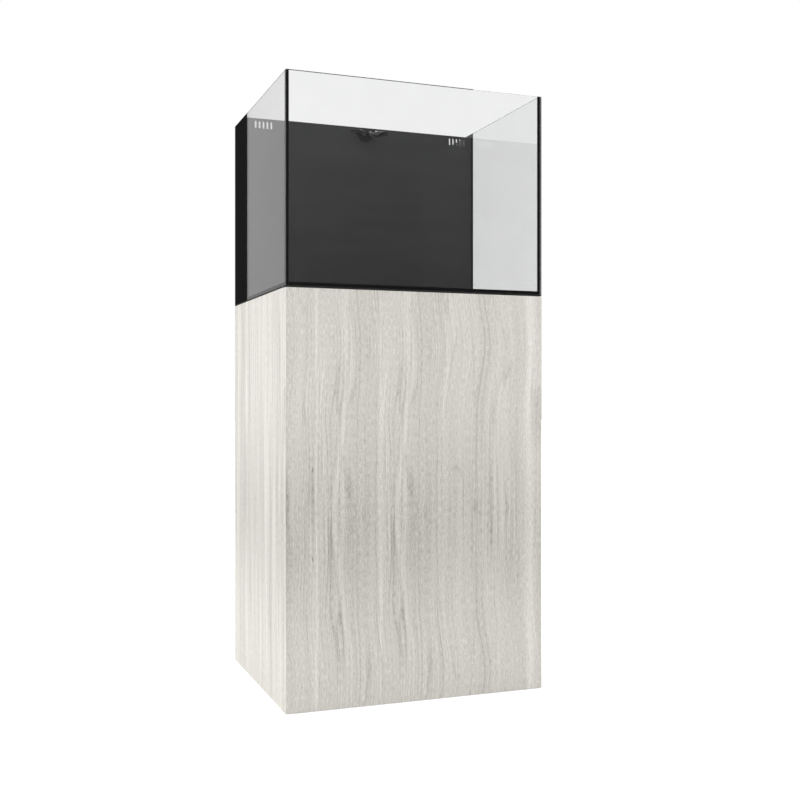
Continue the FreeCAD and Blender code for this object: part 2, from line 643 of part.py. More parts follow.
def sock(side):
    """A felt sock that hangs from a plastic ring with two pull tabs."""
    at = (mirrored(side, SOCK_X), CHAMBER_Y, f"{HOLDER_TOP} + hole_play")
    ring = new_body()
    section = drawing(ring, "XZ_Plane")
    bore = "(sock_radius - felt_thick - collar_thick - hole_play)"
    outline(section, (
        (bore, "-collar_long"), (f"{bore} + collar_thick", "-collar_long"),
        (f"{bore} + collar_thick", "0"), ("flange_radius", "0"),
        ("flange_radius", "flange_thick - 1"), ("flange_radius - 1", "flange_thick"),
        (f"{bore} + 1", "flange_thick"), (bore, "flange_thick - 1")))
    revolution(ring, section)
    tabs = drawing(ring, "XY_Plane")
    for sign in ("", "-"):
        rectangle(tabs, ("-tab_half", f"{sign}(flange_radius - 1)"),
                  ("tab_half", f"{sign}tab_reach"))
    pad(ring, tabs, "flange_thick")
    node("sock_ring_" + side, place(ring, at))
    felt = new_body()
    sleeve = drawing(felt, "XZ_Plane")
    outline(sleeve, (
        ("sock_radius - felt_thick", "-hole_play"), ("sock_radius", "-hole_play"),
        ("sock_radius", "-collar_long - 8"), ("sock_toe_radius + 4", "-sock_long + sock_toe"),
        ("sock_toe_radius - 4", "-sock_long + 6"), ("sock_toe_radius - 14", "-sock_long"),
        ("0", "-sock_long"), ("0", "-sock_long + felt_thick"),
        ("sock_toe_radius - 15", "-sock_long + felt_thick"),
        ("sock_toe_radius - 7", "-sock_long + 9"), ("sock_toe_radius + 1", "-sock_long + sock_toe"),
        ("sock_radius - felt_thick", "-collar_long - 8")))
    revolution(felt, sleeve)
    node("filter_sock_" + side, place(felt, at))


# Return outlet.

def elbow():
    """The bulkhead: a flange before the wall, a shank through it, and an elbow down behind it."""
    front = f"{WALL} - bulkhead_thick"
    centre = ("0", RISER_Y, OUTLET_Z)
    foot = f"{OUTLET_Z} - spigot_drop"
    skin = joined(
        rod(("0", front, OUTLET_Z), "bulkhead_radius", "bulkhead_thick", "y"),
        rod(("0", front, OUTLET_Z), "shank_radius", "elbow_back + bulkhead_thick", "y"),
        orb(centre, "shank_radius"),
        rod(("0", RISER_Y, f"{OUTLET_Z} - elbow_drop"), "shank_radius", "elbow_drop"),
        rod(("0", RISER_Y, foot), "spigot_radius", "spigot_drop"))
    bores = joined(
        rod(("0", f"{front} - 1", OUTLET_Z), "outlet_bore", "elbow_back + bulkhead_thick + 1", "y"),
        orb(centre, "outlet_bore"),
        rod(("0", RISER_Y, f"{foot} - 1"), "outlet_bore", "spigot_drop + 1"))
    node("bulkhead_elbow", less(skin, bores))
    hollow = rod(("0", WALL_BACK, OUTLET_Z), "shank_radius + hole_play", "shank_thread", "y")
    disc = rod(("0", WALL_BACK, OUTLET_Z), "bulkhead_radius", "gasket_thick", "y")
    node("bulkhead_gasket", less(disc, hollow))
    nut = doc.addObject("Part::Prism", "Hexagon")
    nut.Polygon = 6
    bind(nut, Circumradius="nut_radius", Height="nut_thick")
    place(nut, ("0", f"{WALL_BACK} + gasket_thick", OUTLET_Z), TURNS["y"])
    node("bulkhead_nut", less(nut, hollow))


def splayed(side, distance):
    """The point at a distance along one arm of the outlet, measured from the arms' root."""
    x = mirrored(side, f"({distance}) * sin(splay * 1 deg)")
    y = f"{WALL} - bulkhead_thick - arm_start - ({distance}) * cos(splay * 1 deg)"
    return (x, y, OUTLET_Z)


def aim(side):
    """The turn that points a local +Z axis along one arm."""
    angle = number("splay") * (1 if side == "right" else -1)
    return FreeCAD.Rotation(UP, angle) * FreeCAD.Rotation(FreeCAD.Vector(1, 0, 0), 90)


def aimed_rod(side, distance, radius, length):
    item = doc.addObject("Part::Cylinder", "Rod")
    bind(item, Radius=radius, Height=length)
    return place(item, splayed(side, distance), aim(side))


def aimed_orb(side, distance, radius):
    item = doc.addObject("Part::Sphere", "Orb")
    bind(item, Radius=radius)
    return place(item, splayed(side, distance), aim(side))


def y_fitting():
    """The Y piece: a hub on the bulkhead and two splayed arms that end in ball sockets."""
    hub_front = f"{WALL} - bulkhead_thick - hub_long"
    solids = [rod(("0", hub_front, OUTLET_Z), "hub_radius", "hub_long", "y")]
    hollows = [rod(("0", f"{hub_front} + 3", OUTLET_Z), "throat_radius + 1", "hub_long", "y")]
    for side in ("left", "right"):
        solids.append(aimed_orb(side, "arm_long", "socket_radius"))
        hollows.append(aimed_orb(side, "arm_long", "ball_radius + ball_play"))
        hollows.append(aimed_rod(side, "0", "throat_radius", "arm_long"))
        hollows.append(aimed_rod(side, "arm_long + socket_lip", "socket_radius + 2", "20"))
    node("y_fitting", less(joined(*solids), *hollows))


def knuckle(side):
    """Two balls on a short neck, with a bore along it."""
    skin = joined(
        aimed_orb(side, "arm_long", "ball_radius"),
        aimed_orb(side, "arm_long + link_long", "ball_radius"),
        aimed_rod(side, "arm_long", "neck_radius", "link_long"))
    bore = aimed_rod(side, "arm_long - ball_radius - 1", "neck_bore", "link_long + 2 * ball_radius + 2")
    node("knuckle_" + side, less(skin, bore))


def oval(half_wide, half_high, level):
    item = doc.addObject("Part::Ellipse", "Oval")
    bind(item, MajorRadius=half_wide, MinorRadius=half_high)
    return place(item, ("0", "0", level))


def loft(*sections):
    item = doc.addObject("Part::Loft", "Loft")
    item.Sections = list(sections)
    item.Solid = True
    return item


def nozzle(side):
    """A flat fan nozzle: a ball socket that lofts out to a wide, thin mouth."""
    fan = loft(oval("socket_radius - 0.8", "socket_radius - 0.8 - 0.001", "socket_radius * 0.35"),
               oval("(socket_radius + nozzle_half) / 2", "nozzle_flat + 1.3", "nozzle_long * 0.6"),
               oval("nozzle_half", "nozzle_flat", "nozzle_long"))
    throat = loft(oval("throat_radius", "throat_radius - 0.001", "3"),
                  oval("mouth_half", "mouth_flat", "nozzle_long + 0.2"))
    skin = joined(orb(("0", "0", "0"), "socket_radius"), fan)
    behind = block(("-socket_radius - 1", "-socket_radius - 1", "-2 * socket_radius - socket_lip"),
                   ("2 * socket_radius + 2", "2 * socket_radius + 2", "2 * socket_radius"))
    item = less(skin, orb(("0", "0", "0"), "ball_radius + ball_play"), behind, throat)
    node("nozzle_" + side, place(item, splayed(side, "arm_long + link_long"), aim(side)))


def hose():
    """The straight hose from the pump's riser up to the elbow's spigot, and its two clamps."""
    low = f"({PUMP_Z} + riser_high)"
    high = f"({OUTLET_Z} - elbow_drop - {low})"
    inner = "spigot_radius + hole_play"
    node("return_hose", less(rod(("0", RISER_Y, low), f"{inner} + hose_wall", high),
                             rod(("0", RISER_Y, f"{low} - 1"), inner, f"{high} + 2")))
    bands = []
    for level in (f"{low} + clamp_setback", f"{low} + {high} - clamp_setback - clamp_wide"):
        band = rod(("0", RISER_Y, level), f"{inner} + hose_wall + clamp_thick", "clamp_wide")
        bands.append(less(band, rod(("0", RISER_Y, f"{level} - 1"),
                                    f"{inner} + hose_wall + hole_play", "clamp_wide + 2")))
    node("hose_clamps", group(*bands))


# Return pump, its axis along X.

def spread(plate, start, half_wide, half_thick, turn):
    """Turn a flat plate about the pump's axis, so that the axis runs through its middle."""
    plate.Placement.Rotation = FreeCAD.Rotation(FreeCAD.Vector(1, 0, 0), turn)
    across, rise = f"cos({turn} * 1 deg)", f"sin({turn} * 1 deg)"
    y = f"pump_y - ({half_wide}) * {across} + {half_thick} * {rise}"
    z = f"{PUMP_Z} - ({half_wide}) * {rise} - {half_thick} * {across}"
    for name, text in zip("xyz", (start, y, z)):
        plate.setExpression("Placement.Base." + name, ex(text))


def pump():
    """The volute with its riser, the motor, the strainer, the feet and the lead's gland."""
    axis = ("pump_y", PUMP_Z)
    case = joined(
        rod(("-volute_half", *axis), "volute_radius", "2 * volute_half", "x"),
        rod(("0", RISER_Y, PUMP_Z), "spigot_radius + boss_thick", "riser_high"),
        rod(("0", RISER_Y, PUMP_Z), "spigot_radius", "riser_top"))
    inlet = less(
        rod(("-volute_half - 1", *axis), "inlet_radius", "volute_half"),
        block(("-volute_half - 2", "pump_y - inlet_radius - 1", f"{PUMP_Z} - 3"),
              ("5", "2 * inlet_radius + 2", "6")))
    node("pump_volute", less(
        case,
        rod(("-cavity_half", *axis), "cavity_radius", "2 * cavity_half", "x"),
        inlet,
        rod(("0", *axis), "rotor_radius + rotor_play", "volute_half + 1", "x"),
        rod(("-volute_half + 0.5", *axis), "shaft_radius + shaft_play", "volute_half", "x"),
        rod(("0", RISER_Y, PUMP_Z), "outlet_bore", "riser_top + 1")))
    start = "volute_half"
    ribs = [rod((f"{start} + {step} * motor_long / 6", *axis), "rib_radius", "rib_wide", "x")
            for step in range(1, 5)]
    motor = joined(
        rod((start, *axis), "motor_radius", "motor_long - motor_nose", "x"),
        taper((f"{start} + motor_long - motor_nose", *axis), "motor_radius",
              "motor_radius - motor_nose", "motor_nose", TURNS["x"]), *ribs)
    node("pump_motor", less(
        motor,
        rod((f"{start} - 1", *axis), "rotor_radius + rotor_play", "rotor_long + 1", "x"),
        rod((start, *axis), "shaft_radius + shaft_play", "rotor_long + shaft_seat", "x")))
    node("impeller_shaft", rod(("-volute_half + 0.7", *axis), "shaft_radius",
                               "2 * volute_half + rotor_long + shaft_seat - 1", "x"))
    far = "(-volute_half - strainer_long)"
    cup = less(rod((far, *axis), "strainer_radius", "strainer_long", "x"),
               rod((f"{far} + strainer_wall", *axis), "strainer_radius - strainer_wall",
                   "strainer_long", "x"))
    slits = []
    for step in range(4):
        slit = doc.addObject("Part::Box", "Slit")
        bind(slit, Length="strainer_long - 2 * strainer_rim", Width="2 * strainer_radius + 4",
             Height="strainer_slit")
        spread(slit, f"{far} + strainer_rim", "strainer_radius + 2", "strainer_slit / 2",
               45 * step + 22.5)
        slits.append(slit)
    node("pump_strainer", less(cup, *slits))
    feet = [rod((f"{start} + {along}", f"pump_y {across}", FLOOR), "foot_radius", "foot_high")
            for along in ("foot_inset", "motor_long - foot_inset")
            for across in ("- foot_spread", "+ foot_spread")]
    envelope = rod((f"{start} - 1", *axis), "rib_radius + hole_play", "motor_long", "x")
    node("pump_feet", less(group(*feet), envelope))
    end = f"{start} + motor_long"
    node("pump_gland", less(
        taper((end, *axis), "gland_radius", "gland_radius - 2", "gland_long", TURNS["x"]),
        rod((f"{end} + 4", *axis), "lead_radius", "gland_long", "x")))


def impeller():
    """The magnet rotor, its disc and six straight vanes, bored for the ceramic shaft."""
    axis = ("pump_y", PUMP_Z)
    solids = [
        rod(("vane_half - vane_disc", *axis), "vane_radius", "vane_disc", "x"),
        rod(("-vane_half", *axis), "hub_core", "2 * vane_half", "x"),
        rod(("vane_half", *axis), "rotor_radius", "rotor_long", "x")]
    for step in range(3):
        vane = doc.addObject("Part::Box", "Vane")
        bind(vane, Length="2 * vane_half", Width="2 * vane_radius", Height="vane_thick")
        spread(vane, "-vane_half", "vane_radius", "vane_thick / 2", 60 * step + 15)
        solids.append(vane)
    bore = rod(("-vane_half - 1", *axis), "shaft_radius + hole_play", "rotor_long + 30", "x")
    node("pump_impeller", less(joined(*solids), bore))


side_panel("left")
side_panel("right")
level_board("top_panel", "cabinet_high - panel_thick", False)
level_board("bottom_panel", "0", True)
back_panel()
grommet("cable_grommet_upper", "port_high")
grommet("cable_grommet_lower", "port_low")
cabinet_fasteners()
door_panel()
hinges()
latch()
panes()
seams()
overflow_wall()
elbow()
y_fitting()
for hand in ("left", "right"):
    rear_chamber(hand)
    sock(hand)
    knuckle(hand)
    nozzle(hand)
hose()
pump()
impeller()

doc.recompute()
for item in doc.Objects:
    if "Invalid" in item.State or "Error" in item.State:
        raise ValueError(item.Label + " failed to compute")
os.makedirs("parts", exist_ok=True)
for item in nodes:
    if item.Shape.isNull() or not item.Shape.isValid():
        raise ValueError(item.Label + " has no valid shape")
    item.Shape.exportStep("parts/" + item.Label + ".step")
print(len(nodes), "nodes")
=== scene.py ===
import json
import math

import bpy
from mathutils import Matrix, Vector, noise


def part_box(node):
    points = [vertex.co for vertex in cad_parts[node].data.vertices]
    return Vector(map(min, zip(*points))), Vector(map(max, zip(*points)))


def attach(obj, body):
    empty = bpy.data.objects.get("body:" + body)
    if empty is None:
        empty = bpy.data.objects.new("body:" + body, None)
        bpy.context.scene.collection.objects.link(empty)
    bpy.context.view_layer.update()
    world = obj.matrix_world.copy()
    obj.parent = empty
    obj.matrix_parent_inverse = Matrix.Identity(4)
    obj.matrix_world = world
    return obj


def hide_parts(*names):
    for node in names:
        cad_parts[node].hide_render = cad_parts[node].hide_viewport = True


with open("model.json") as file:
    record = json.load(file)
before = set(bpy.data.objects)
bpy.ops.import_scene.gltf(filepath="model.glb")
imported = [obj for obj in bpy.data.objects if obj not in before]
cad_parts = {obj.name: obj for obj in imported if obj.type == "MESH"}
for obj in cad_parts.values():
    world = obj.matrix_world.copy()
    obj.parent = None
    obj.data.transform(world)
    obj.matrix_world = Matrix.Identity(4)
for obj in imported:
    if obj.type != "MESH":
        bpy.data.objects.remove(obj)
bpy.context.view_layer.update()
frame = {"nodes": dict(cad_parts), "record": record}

scene = bpy.context.scene
nodes = frame["nodes"]


# Shader graphs.

class Graph:
    """A small helper that builds one material's nodes."""

    def __init__(self, name):
        self.material = bpy.data.materials.new(name)
        self.material.use_nodes = True
        self.tree = self.material.node_tree
        self.tree.nodes.clear()
        self.output = self.tree.nodes.new("ShaderNodeOutputMaterial")
        self.coordinates = None

    def add(self, kind, **settings):
        item = self.tree.nodes.new("ShaderNode" + kind)
        for key, value in settings.items():
            setattr(item, key, value)
        return item

    def put(self, value, socket):
        """Link a socket, or set a number or a colour."""
        if isinstance(value, bpy.types.NodeSocket):
            self.tree.links.new(value, socket)
        else:
            socket.default_value = value

    def where(self, output="Object"):
        """The surface's place, or another output of one shared Texture Coordinate node."""
        if self.coordinates is None:
            self.coordinates = self.add("TexCoord")
        return self.coordinates.outputs[output]

    def maths(self, operation, *values, clamp=False):
        item = self.add("Math", operation=operation, use_clamp=clamp)
        for value, socket in zip(values, item.inputs):
            self.put(value, socket)
        return item.outputs[0]

    def plus(self, *values):
        total = values[0]
        for value in values[1:]:
            total = self.maths("ADD", total, value)
        return total

    def times(self, first, second):
        return self.maths("MULTIPLY", first, second)

    def vector(self, x, y, z):
        item = self.add("CombineXYZ")
        for value, socket in zip((x, y, z), item.inputs):
            self.put(value, socket)
        return item.outputs[0]

    def apart(self, vector):
        item = self.add("SeparateXYZ")
        self.put(vector, item.inputs[0])
        return item.outputs

    def noise(self, vector, scale, detail=2.0, roughness=0.5, distortion=0.0):
        item = self.add("TexNoise")
        self.put(vector, item.inputs["Vector"])
        for name, value in (("Scale", scale), ("Detail", detail), ("Roughness", roughness),
                            ("Distortion", distortion)):
            self.put(value, item.inputs[name])
        return item.outputs[0]

    def cells(self, vector, scale, feature="F1"):
        item = self.add("TexVoronoi", feature=feature)
        self.put(vector, item.inputs["Vector"])
        self.put(scale, item.inputs["Scale"])
        return item.outputs[0]

    def span(self, value, low, high, start=0.0, end=1.0, smooth=False):
        """Map a range to another, clamped."""
        item = self.add("MapRange", clamp=True)
        item.interpolation_type = "SMOOTHSTEP" if smooth else "LINEAR"
        for number, socket in zip((value, low, high, start, end), item.inputs):
            self.put(number, socket)
        return item.outputs[0]

    def hump(self, value, centre, half):
        """1 at the centre, falling smoothly to 0 at the half width."""
        away = self.maths("ABSOLUTE", self.maths("SUBTRACT", value, centre))
        return self.span(away, 0.0, half, 1.0, 0.0, smooth=True)

    def colours(self, factor, *stops):
        item = self.add("ValToRGB")
        ramp = item.color_ramp
        while len(ramp.elements) < len(stops):
            ramp.elements.new(0.5)
        for element, (position, colour) in zip(ramp.elements, stops):
            element.position = position
            element.color = (*colour, 1.0)
        self.put(factor, item.inputs[0])
        return item.outputs[0]

    def bump(self, height, distance, strength=1.0):
        item = self.add("Bump")
        self.put(strength, item.inputs["Strength"])
        self.put(distance, item.inputs["Distance"])
        self.put(height, item.inputs["Height"])
        return item.outputs[0]

    def finish(self, **inputs):
        """End in one Principled shader. An underscore in a name stands for a space."""
        shader = self.add("BsdfPrincipled")
        for name, value in inputs.items():
            if isinstance(value, tuple) and len(value) == 3:
                value = (*value, 1.0)
            self.put(value, shader.inputs[name.replace("_", " ")])
        self.tree.links.new(shader.outputs[0], self.output.inputs["Surface"])
        return self.material


def rgb(*levels):
    """A colour as it is on screen, from 0 to 255 a channel, turned linear."""
    shares = [level / 255 for level in levels]
    return tuple(s / 12.92 if s <= 0.04045 else ((s + 0.055) / 1.055) ** 2.4 for s in shares)


def grey(level):
    return rgb(level, level, level)


# Materials. The veneer's figure is laid out in metres from the door's left edge.

BOARD_STARTS = (0.074, 0.216, 0.488)        # where one printed board meets the next
BOARD_SHIFTS = (-0.30, 0.0, -0.142, 0.62)   # how far each board's figure is moved
MIRROR_LEVEL = 0.416                        # the height about which the figure is mirrored
DARK_LINES = (0.1555, 0.200, 0.2965, 0.309)  # long dark grain lines, moved with their board
DARK_LINE_HALF = 0.0032
PALE_STRIPS = ((0.067, 0.0065), (0.2105, 0.006), (0.571, 0.019))            # middle, half width
CLOUDS = ((0.010, 0.060), (0.138, 0.055), (0.284, 0.060), (0.510, 0.045))   # middle, half width
KNOT_ACROSS = 0.0585
KNOT_LEVELS = (0.322, 0.510)


def wood(name, run="Z", figured=True):
    """A pale ash veneer. Its grain runs along one axis, and its faces across X carry no figure."""
    g = Graph(name)
    x, y, z = g.apart(g.where())
    # flat is 1 where the board was cut flat to the log and shows its figure
    if run == "X":
        across, z = g.maths("ADD", y, 0.07), g.maths("ADD", x, 0.21)
        flat = 0.25
    else:
        facing = g.maths("ABSOLUTE", g.apart(g.where("Normal"))[0])
        sideways = g.maths("GREATER_THAN", facing, 0.6)
        shifted = g.maths("SUBTRACT", 1.93, y)
        across = g.plus(g.times(sideways, shifted),
                        g.times(g.maths("SUBTRACT", 1.0, sideways), g.maths("ADD", x, 0.3)))
        flat = g.span(sideways, 0.0, 1.0, 1.0 if figured else 0.3, 0.12)
    # each board starts at its own place in the figure
    shift = BOARD_SHIFTS[0]
    for start, here, before in zip(BOARD_STARTS, BOARD_SHIFTS[1:], BOARD_SHIFTS):
        past = g.maths("GREATER_THAN", across, start)
        shift = g.plus(shift, g.times(past, here - before))
    s = g.plus(across, shift)
    level = g.maths("ABSOLUTE", g.maths("SUBTRACT", z, MIRROR_LEVEL))
    # grain lines swell to the right once above and once below the middle, and drift a little
    swell = g.times(g.hump(level, 0.365, 0.16), g.span(s, 0.165, 0.200, 0.009, 0.017))
    drift = g.noise(g.vector(g.times(s, 9.0), 4.0, g.times(level, 4.2)), 1.0, 2.0, 0.45)
    lean = g.plus(swell, g.times(g.maths("SUBTRACT", drift, 0.5), 0.018))
    grain = g.maths("SUBTRACT", s, g.times(lean, flat))

    def streaks(per_metre, climb, seed, detail=2.0, roughness=0.55):
        """Streaks along the grain, centred on zero."""
        place = g.vector(g.times(grain, per_metre), seed, g.times(z, climb))
        return g.maths("SUBTRACT", g.noise(place, 1.0, detail, roughness), 0.5)

    broad = streaks(26.0, 0.7, 1.0)
    middle = streaks(90.0, 1.4, 2.0)
    narrow = streaks(310.0, 3.4, 3.0)
    fine = streaks(520.0, 78.0, 5.0)
    # thin dark lines where a slow field crosses one value; their strength comes and goes
    field = g.noise(g.vector(g.times(grain, 30.0), 6.0, g.times(level, 2.3)), 1.0, 1.0, 0.4)
    crossing = g.maths("ABSOLUTE", g.maths("SUBTRACT", field, 0.5))
    thin = g.span(crossing, 0.0, 0.028, 1.0, 0.0, smooth=True)
    strength = g.span(g.noise(g.vector(g.times(s, 14.0), 7.0, g.times(z, 5.0)), 1.0, 2.0),
                      0.42, 0.64, 0.0, 1.0, smooth=True)
    lines = g.times(g.times(thin, strength), flat)
    # a sandy mottle where the log was cut flat
    sand = g.maths("SUBTRACT", g.noise(g.vector(g.times(grain, 400.0), 8.0, g.times(z, 230.0)),
                                       1.0, 2.0, 0.65), 0.5)
    zone = g.span(g.noise(g.vector(g.times(s, 17.0), 2.5, g.times(level, 2.2)), 1.0, 1.0),
                  0.40, 0.60, 1.0, 0.25, smooth=True)
    edge = g.maths("SUBTRACT", 1.0, flat)
    straight = g.plus(1.50, g.times(edge, 0.45), g.times(g.times(zone, flat), -1.0))
    pores = g.span(g.noise(g.vector(g.times(grain, 800.0), 9.0, g.times(z, 70.0)), 1.0, 1.0, 0.6),
                   0.60, 0.72, 0.0, 1.0, smooth=True)
    tone = g.plus(
        0.5,
        g.times(broad, g.plus(0.34, g.times(edge, 0.25))),
        g.times(g.plus(g.times(middle, 0.15), g.times(narrow, 0.60)), straight),
        g.times(fine, 0.76),
        g.times(g.times(sand, 0.46), g.times(zone, flat)),
        g.times(lines, -0.17),
        g.times(pores, -0.07))
    # the whole board is a little darker half-way up
    dusk = g.hump(z, 0.385, 0.30)
    if figured:
        dark_line = g.plus(*[g.hump(grain, line, DARK_LINE_HALF) for line in DARK_LINES])
        dark_line = g.times(dark_line, g.span(level, 0.10, 0.24, 0.3, 1.0))
        flank_at = g.maths("SUBTRACT", g.maths("SUBTRACT", s, 0.104), g.times(level, 0.125))
        flank = g.times(g.span(level, 0.0, 0.05, 0.35, 1.0), g.span(level, 0.20, 0.29, 1.0, 0.0))
        pale = g.times(g.hump(flank_at, 0.0, 0.010), flank)
        shade = g.times(g.hump(flank_at, -0.011, 0.007), flank)
        strips = g.plus(*[g.hump(across, *strip) for strip in PALE_STRIPS])
        clouds = g.plus(*[g.hump(across, *cloud) for cloud in CLOUDS])
        low_down = g.times(g.hump(z, 0.325, 0.17), clouds)
        patch = g.times(g.span(z, 0.535, 0.60), g.span(z, 0.678, 0.690, 1.0, 0.0))
        patch = g.times(g.span(across, 0.5715, 0.5725), patch)
        tone = g.plus(tone, g.times(dark_line, -0.15), g.times(pale, 0.08), g.times(shade, -0.07),
                      g.times(strips, 0.14), g.times(low_down, -0.075), g.times(patch, -0.14))
        for height in KNOT_LEVELS:     # small pin knots
            spot = g.times(g.hump(across, KNOT_ACROSS, 0.0022), g.hump(z, height, 0.009))
            tone = g.plus(tone, g.times(spot, -0.55))
    tone = g.plus(tone, g.times(dusk, -0.15))
    colour = g.colours(tone, (0.0, rgb(148, 145, 138)), (0.30, rgb(196, 193, 186)),
                       (0.5, rgb(214, 211, 204)), (0.70, rgb(232, 230, 223)),
                       (1.0, rgb(248, 246, 240)))
    relief = g.plus(g.times(fine, 0.5), g.times(narrow, 0.4), g.times(pores, -0.6),
                    g.times(lines, -0.3), g.times(sand, 0.25))
    rough = g.span(g.plus(fine, g.times(pores, 0.5)), -0.3, 0.5, 0.42, 0.60)
    return g.finish(Base_Color=colour, Roughness=rough, Normal=g.bump(relief, 0.00009),
                    Specular_IOR_Level=0.35)


def plastic(name, level, rough, grain=0.00004, scale=900.0):
    """A moulded plastic with a fine spark-eroded grain and faint handling marks."""
    g = Graph(name)
    speck = g.noise(g.where(), scale, 3.0, 0.6)
    wear = g.noise(g.where(), 38.0, 3.0, 0.55)
    low, high = grey(level - 5), grey(level + 6)
    colour = g.colours(g.plus(g.times(wear, 0.6), g.times(speck, 0.4)), (0.3, low), (0.7, high))
    shine = g.span(wear, 0.3, 0.7, rough - 0.05, rough + 0.07)
    return g.finish(Base_Color=colour, Roughness=shine, Normal=g.bump(speck, grain))


def acrylic():
    """Black cast acrylic, flame polished: deep and glossy, with the faintest haze of wiping. Its
    grey base is partly painted reflection of the room.
    """
    g = Graph("black_acrylic")
    x, y, z = g.apart(g.where())
    haze = g.noise(g.vector(g.times(x, 0.4), g.times(y, 0.4), g.times(z, 2.2)), 9.0, 4.0, 0.6)
    dust = g.noise(g.where(), 620.0, 2.0, 0.7)
    # painted reflection: this base grey stands in for room light reflected by the gloss; the
    # wiping haze varies it a little
    colour = g.colours(haze, (0.3, grey(55)), (0.7, grey(61)))
    shine = g.plus(g.span(haze, 0.3, 0.7, 0.035, 0.085), g.span(dust, 0.62, 0.8, 0.0, 0.1))
    ripple = g.noise(g.where(), 7.0, 1.0, 0.4)
    return g.finish(Base_Color=colour, Roughness=shine, Normal=g.bump(ripple, 0.0004), IOR=1.49)


def film(name, level, shine):
    """Black vinyl laid on the outside of the glass, with the orange peel of its adhesive."""
    g = Graph(name)
    peel = g.noise(g.where(), 260.0, 2.0, 0.5)
    streak = g.noise(g.where(), 14.0, 3.0, 0.6)
    colour = g.colours(streak, (0.3, grey(level)), (0.7, grey(level + 5)))
    return g.finish(Base_Color=colour, Roughness=g.span(streak, 0.3, 0.7, 0.55, 0.65),
                    Normal=g.bump(peel, 0.00006), Specular_IOR_Level=shine)


def silicone():
    """Tooled black silicone: smooth, with the long soft ripples of the finger that drew it. Its
    grey base is painted reflection of the floor.
    """
    g = Graph("black_silicone")
    x, y, z = g.apart(g.where())
    ripple = g.noise(g.vector(g.times(x, 60.0), g.times(y, 60.0), g.times(z, 30.0)), 1.0, 2.0)
    skin = g.noise(g.where(), 480.0, 2.0, 0.6)
    # painted reflection: this grey is lighter than black silicone, standing in for reflected floor
    # light; it rises a little along the ripples
    colour = g.colours(ripple, (0.3, grey(66)), (0.7, grey(74)))
    height = g.plus(ripple, g.times(skin, 0.15))
    return g.finish(Base_Color=colour, Roughness=g.span(ripple, 0.3, 0.7, 0.28, 0.4),
                    Normal=g.bump(height, 0.0004))


def foam():
    """Closed-cell foam, its cut face open and its top skin fine."""
    g = Graph("foam_mat")
    cell = g.cells(g.where(), 850.0)
    broad = g.noise(g.where(), 60.0, 3.0, 0.6)
    colour = g.colours(g.plus(g.times(cell, 0.7), g.times(broad, 0.3)),
                       (0.1, grey(24)), (0.7, grey(46)))
    return g.finish(Base_Color=colour, Roughness=g.span(cell, 0.0, 0.6, 0.95, 0.75),
                    Normal=g.bump(cell, 0.00025), Specular_IOR_Level=0.25)


def glass(name, clear):
    """Polished float glass with the slightest grey tint and a trace of drying marks."""
    g = Graph(name)
    mark = g.noise(g.where(), 16.0, 5.0, 0.62)
    colour = g.colours(mark, (0.35, (clear - 0.010, clear - 0.005, clear - 0.007)),
                       (0.65, (clear + 0.010, clear + 0.015, clear + 0.013)))
    return g.finish(Base_Color=colour, Roughness=0.0, IOR=1.5, Transmission_Weight=1.0)


def metal(name, low, high, rough, stretch=(1.0, 1.0, 1.0), scale=500.0):
    """Brushed or cast metal: fine noise stretched along the way it was finished."""
    g = Graph(name)
    x, y, z = g.apart(g.where())
    place = g.vector(*[g.times(axis, by) for axis, by in zip((x, y, z), stretch)])
    brush = g.noise(place, scale, 4.0, 0.65)
    stain = g.noise(g.where(), 70.0, 3.0, 0.6)
    colour = g.colours(g.plus(g.times(brush, 0.5), g.times(stain, 0.5)), (0.3, low), (0.7, high))
    shine = g.span(g.plus(g.times(brush, 0.6), g.times(stain, 0.4)), 0.3, 0.7,
                   rough - 0.07, rough + 0.08)
    return g.finish(Base_Color=colour, Metallic=1.0, Roughness=shine,
                    Normal=g.bump(brush, 0.00002))


def felt():
    """Needled polyester felt: matted fibres, a pitted surface, and slight soiling."""
    g = Graph("felt")
    place = g.where()
    fibre = g.noise(place, 900.0, 4.0, 0.75, 1.5)
    mat = g.noise(place, 190.0, 3.0, 0.65)
    pit = g.cells(place, 520.0)
    soil = g.noise(place, 24.0, 3.0, 0.6)
    tone = g.plus(g.times(fibre, 0.45), g.times(mat, 0.35), g.times(soil, 0.2))
    colour = g.colours(tone, (0.3, rgb(206, 202, 190)), (0.5, rgb(228, 225, 215)),
                       (0.7, rgb(242, 240, 233)))
    height = g.plus(g.times(fibre, 0.5), g.times(mat, 0.4), g.times(pit, 0.25))
    return g.finish(Base_Color=colour, Roughness=g.span(mat, 0.3, 0.7, 0.85, 0.98),
                    Normal=g.bump(height, 0.0006), Sheen_Weight=0.25, Sheen_Roughness=0.5)


def rubber(name, level, rough):
    """Moulded rubber with a fine bloom."""
    g = Graph(name)
    bloom = g.noise(g.where(), 45.0, 4.0, 0.6)
    skin = g.noise(g.where(), 1100.0, 2.0, 0.6)
    colour = g.colours(g.plus(g.times(bloom, 0.7), g.times(skin, 0.3)),
                       (0.3, grey(level)), (0.7, grey(level + 10)))
    return g.finish(Base_Color=colour, Roughness=g.span(bloom, 0.3, 0.7, rough, rough + 0.12),
                    Normal=g.bump(skin, 0.00004), Specular_IOR_Level=0.35)


